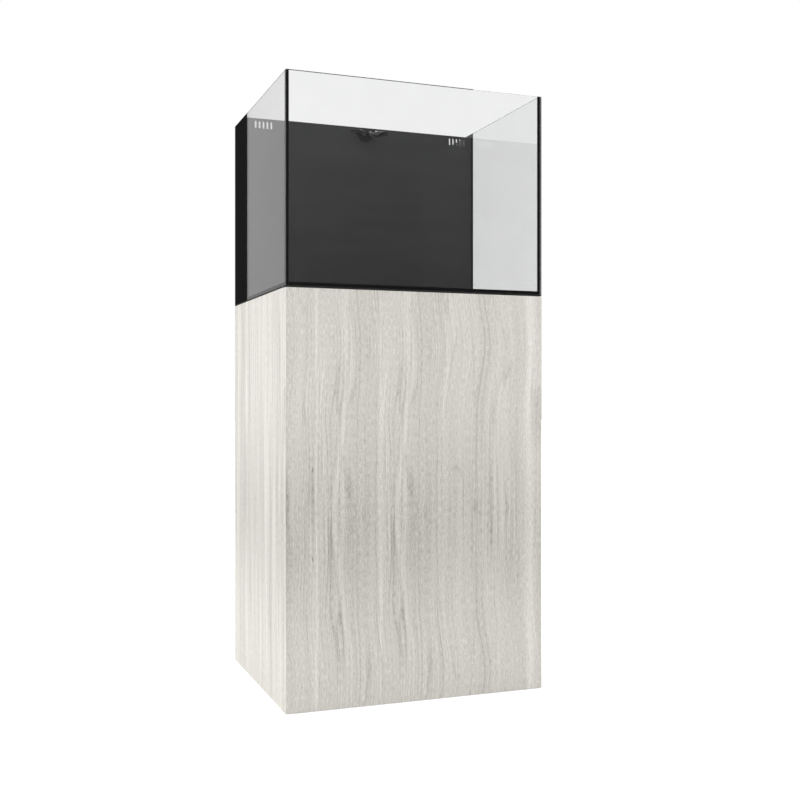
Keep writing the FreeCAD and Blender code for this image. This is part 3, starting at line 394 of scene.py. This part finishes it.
LOOKS = {
    "clear_glass": glass("clear_glass", 0.915),
    "black_acrylic": acrylic(),
    "black_silicone": silicone(),
    "foam_mat": foam(),
    "black_film": film("black_film", 12, 0.005),
    "black_plastic": plastic("black_plastic", 13, 0.17, 0.00002),
    "soft_rubber": rubber("soft_rubber", 22, 0.55),
    "grey_plastic": plastic("grey_plastic", 176, 0.42),
    "white_plastic": plastic("white_plastic", 226, 0.38),
    "felt": felt(),
    "zinc": metal("zinc", rgb(150, 150, 147), rgb(190, 190, 186), 0.42),
    "steel": metal("steel", rgb(176, 177, 176), rgb(214, 214, 212), 0.28, (0.15, 1.0, 1.0)),
    "ceramic_shaft": plastic("ceramic_shaft", 232, 0.2, 0.00001),
    "clear_rubber": plastic("clear_rubber", 214, 0.3, 0.00002, 300.0),
}
WOODS = {
    "door": wood("wood_door"),
    "upright": wood("wood_upright", figured=False),
    "level": wood("wood_level", run="X"),
}
SIDE_GLASS = glass("side_glass", 0.952)
# nodes with a look of their own
OWN_LOOKS = {
    "door_panel": WOODS["door"], "top_panel": WOODS["level"], "bottom_panel": WOODS["level"],
    "left_glass": SIDE_GLASS, "right_glass": SIDE_GLASS,
    # painted light: the back film is a lighter copy of the left one (base 26 against 12), making
    # up for the dim light behind
    "film_back": film("back_film_painted_lighter", 26, 0.20), "film_right": film("right_film", 14, 0.20),
}
LOOKS["wood_laminate"] = WOODS["upright"]
SLOTS = {row["node"]: row["material_slot"] for row in frame["record"]["subparts"]}


def dress(piece, material):
    piece.data.materials.clear()
    piece.data.materials.append(material)


for name, piece in nodes.items():
    dress(piece, OWN_LOOKS.get(name) or LOOKS[SLOTS[name]])


# Filter socks: sewn felt that hangs a little slack from its ring.

AROUND, ROWS = 96, 84     # the mesh of each skin
FELT_THICK = 0.0028
SEAM_AT = 1.2             # the angle of the side seam
TAPER_FROM, TAPER_LONG, TAPER = 0.032, 0.146, 0.0052
TOE_FROM = 0.176          # where the sewn toe starts, down from the top
FOLD_DEEP = 0.0016
RIDGE_HIGH, RIDGE_HALF = 0.0014, 0.0025


def sock(side):
    """An outer and an inner skin from the ring down to a rounded toe, joined at the top."""
    low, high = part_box("filter_sock_" + side)
    centre = (low + high) / 2
    top, bottom = high.z, low.z
    outer = (high.x - low.x) / 2
    skins = []
    for inset in (0.0, FELT_THICK):
        ring_rows = []
        for row in range(ROWS + 1):
            share = row / ROWS
            drop = share * (top - bottom)
            taper = max(0.0, (drop - TAPER_FROM) / TAPER_LONG)
            radius = outer - 0.0005 - TAPER * min(taper, 1.0) ** 1.3
            toe = max(0.0, (drop - TOE_FROM) / (top - bottom - TOE_FROM))
            radius *= math.sqrt(max(0.0, 1.0 - 0.97 * toe ** 2.4))
            level = top - drop + (inset if toe > 0.98 else 0.0)
            loop = []
            for step in range(AROUND):
                angle = 2 * math.pi * step / AROUND
                spot = Vector((math.cos(angle) * 2.2, math.sin(angle) * 2.2, drop * 16 + 3.7))
                slack = noise.noise(spot + Vector((11.0 if side == "left" else 0.0, 0, 0)))
                folds = math.sin(5 * angle + 9 * drop) * 0.5 + slack
                ease = min(1.0, max(0.0, (drop - 0.03) / 0.06))
                pull = FOLD_DEEP * (folds - 1.1) * ease
                away = (angle - SEAM_AT + math.pi) % (2 * math.pi) - math.pi
                ridge = RIDGE_HIGH * math.exp(-(away * outer / RIDGE_HALF) ** 2) * ease
                reach = radius - inset + pull * (0.4 + 0.6 * (1 - toe)) - ridge * (inset == 0)
                loop.append((centre.x + reach * math.cos(angle),
                             centre.y + reach * math.sin(angle), level))
            ring_rows.append(loop)
        skins.append(ring_rows)
    points, faces = [], []
    starts = []
    for skin in skins:
        starts.append(len(points))
        for loop in skin:
            points.extend(loop)
    for which, start in enumerate(starts):
        for row in range(ROWS):
            for step in range(AROUND):
                a = start + row * AROUND + step
                b = start + row * AROUND + (step + 1) % AROUND
                c, d = b + AROUND, a + AROUND
                faces.append((a, b, c, d) if which else (a, d, c, b))
        foot = len(points)
        last = start + ROWS * AROUND
        toe_level = sum(points[last + k][2] for k in range(AROUND)) / AROUND
        points.append((centre.x, centre.y, toe_level))
        for step in range(AROUND):
            a, b = last + step, last + (step + 1) % AROUND
            faces.append((a, b, foot) if which else (b, a, foot))
    for step in range(AROUND):     # the cut edge at the top
        a, b = starts[0] + step, starts[0] + (step + 1) % AROUND
        faces.append((a, b, b + starts[1] - starts[0], a + starts[1] - starts[0]))
    mesh = bpy.data.meshes.new("felt_sock_" + side)
    mesh.from_pydata(points, [], faces)
    mesh.validate()
    mesh.shade_smooth()
    piece = bpy.data.objects.new("felt_sock_" + side, mesh)
    scene.collection.objects.link(piece)
    dress(piece, LOOKS["felt"])
    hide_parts("filter_sock_" + side)
    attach(piece, "sock_" + side)
    return piece


for hand in ("left", "right"):
    sock(hand)


# Studio: a pale floor, a soft sky, three soft lamps, and one that only gives highlights.

FLOOR_LIFT = 0.5          # how much the floor is lifted towards white where it is seen directly
SKY_BACK = 0.20           # the sky's level away from the left
SKY_LEFT = 1.00           # and on the left, where the window light comes from
SKY_TOP = 0.90            # what the sky gains overhead


def floor():
    """A matt floor, brighter where it is seen directly or through glass."""
    half = 30.0
    mesh = bpy.data.meshes.new("studio_floor")
    mesh.from_pydata([(-half, -half, 0), (half, -half, 0), (half, half, 0), (-half, half, 0)],
                     [], [(0, 1, 2, 3)])
    piece = bpy.data.objects.new("studio_floor", mesh)
    scene.collection.objects.link(piece)
    g = Graph("studio_floor")
    mottle = g.noise(g.where(), 3.0, 3.0, 0.5)
    colour = g.colours(mottle, (0.3, (0.93, 0.93, 0.93)), (0.7, (0.95, 0.95, 0.95)))
    path = g.add("LightPath")
    seen = g.maths("MAXIMUM", path.outputs["Is Camera Ray"], path.outputs["Is Transmission Ray"])
    dress(piece, g.finish(Base_Color=colour, Roughness=0.9, Specular_IOR_Level=0.1,
                          Emission_Color=(1.0, 1.0, 1.0),
                          Emission_Strength=g.times(seen, FLOOR_LIFT)))
    piece.location.z = -0.0005     # just clear of the feet


def sky():
    """White where it is seen directly or straight through glass, and softer as light."""
    world = bpy.data.worlds.new("studio")
    scene.world = world
    world.use_nodes = True
    tree = world.node_tree
    tree.nodes.clear()

    def add(kind, **settings):
        item = tree.nodes.new("ShaderNode" + kind)
        for key, value in settings.items():
            setattr(item, key, value)
        return item

    def join(source, target):
        tree.links.new(source, target)

    where = add("TexCoord")
    parts = add("SeparateXYZ")
    join(where.outputs["Generated"], parts.inputs[0])
    upward = add("MapRange", clamp=True)
    join(parts.outputs["Z"], upward.inputs["Value"])
    for name, value in (("From Min", 0.35), ("From Max", 0.95), ("To Min", 0.0), ("To Max", 1.0)):
        upward.inputs[name].default_value = value
    leftward = add("MapRange", clamp=True)
    join(parts.outputs["X"], leftward.inputs["Value"])
    for name, value in (("From Min", -0.9), ("From Max", 0.35), ("To Min", 1.0), ("To Max", 0.0)):
        leftward.inputs[name].default_value = value
    level = add("MapRange", clamp=False)
    join(leftward.outputs[0], level.inputs["Value"])
    level.inputs["To Min"].default_value = SKY_BACK
    level.inputs["To Max"].default_value = SKY_LEFT
    total = add("Math", operation="MULTIPLY_ADD")
    join(upward.outputs[0], total.inputs[0])
    total.inputs[1].default_value = SKY_TOP
    join(level.outputs[0], total.inputs[2])
    soft = add("Background")
    join(total.outputs[0], soft.inputs["Strength"])
    plain = add("Background")
    plain.inputs["Strength"].default_value = 1.0
    for shader in (soft, plain):
        shader.inputs["Color"].default_value = (1.0, 1.0, 1.0, 1.0)
    path = add("LightPath")
    # what is seen straight through the panes, with no reflection on the way, is plain white too
    bounces = add("Math", operation="ADD")
    join(path.outputs["Glossy Depth"], bounces.inputs[0])
    join(path.outputs["Diffuse Depth"], bounces.inputs[1])
    straight = add("Math", operation="LESS_THAN")
    join(bounces.outputs[0], straight.inputs[0])
    straight.inputs[1].default_value = 0.5
    through = add("Math", operation="MULTIPLY")
    join(path.outputs["Is Transmission Ray"], through.inputs[0])
    join(straight.outputs[0], through.inputs[1])
    seen = add("Math", operation="MAXIMUM")
    join(path.outputs["Is Camera Ray"], seen.inputs[0])
    join(through.outputs[0], seen.inputs[1])
    mix = add("MixShader")
    join(seen.outputs[0], mix.inputs[0])
    join(soft.outputs[0], mix.inputs[1])
    join(plain.outputs[0], mix.inputs[2])
    output = add("OutputWorld")
    join(mix.outputs[0], output.inputs["Surface"])


def soft_light(name, place, target, size, watts, sparkle=False):
    """A large lamp, out of sight of gloss, or seen by gloss only when it is there to sparkle."""
    data = bpy.data.lights.new(name, "AREA")
    data.shape = "RECTANGLE"
    data.size, data.size_y = size
    data.energy = watts
    lamp = bpy.data.objects.new(name, data)
    scene.collection.objects.link(lamp)
    lamp.visible_glossy = sparkle
    lamp.visible_diffuse = not sparkle
    lamp.visible_transmission = False
    lamp.location = place
    lamp.rotation_euler = (Vector(target) - Vector(place)).to_track_quat("-Z", "Y").to_euler()


def camera():
    """A level camera at the front left."""
    data = bpy.data.cameras.new("camera")
    data.lens = 48.53
    data.sensor_width = 36.0
    data.clip_end = 200.0
    eye = bpy.data.objects.new("camera", data)
    scene.collection.objects.link(eye)
    eye.location = (-0.8652, -2.4492, 0.6577)
    eye.rotation_euler = (math.radians(90), 0.0, math.radians(-20.5))
    scene.camera = eye


floor()
sky()
soft_light("key_left", (-3.2, -1.0, 2.4), (0.0, 0.0, 0.7), (2.6, 2.6), 25.0)
soft_light("fill_front", (0.8, -3.4, 2.8), (0.0, 0.0, 0.7), (2.4, 1.6), 15.5)
soft_light("spark_top", (-0.5, -0.3, 3.1), (0.0, 0.1, 1.3), (1.6, 1.6), 55.0, sparkle=True)
soft_light("rim_back", (2.8, 2.4, 2.2), (0.0, 0.0, 0.8), (2.4, 2.4), 26.0)
camera()
scene.view_settings.view_transform = "Standard"
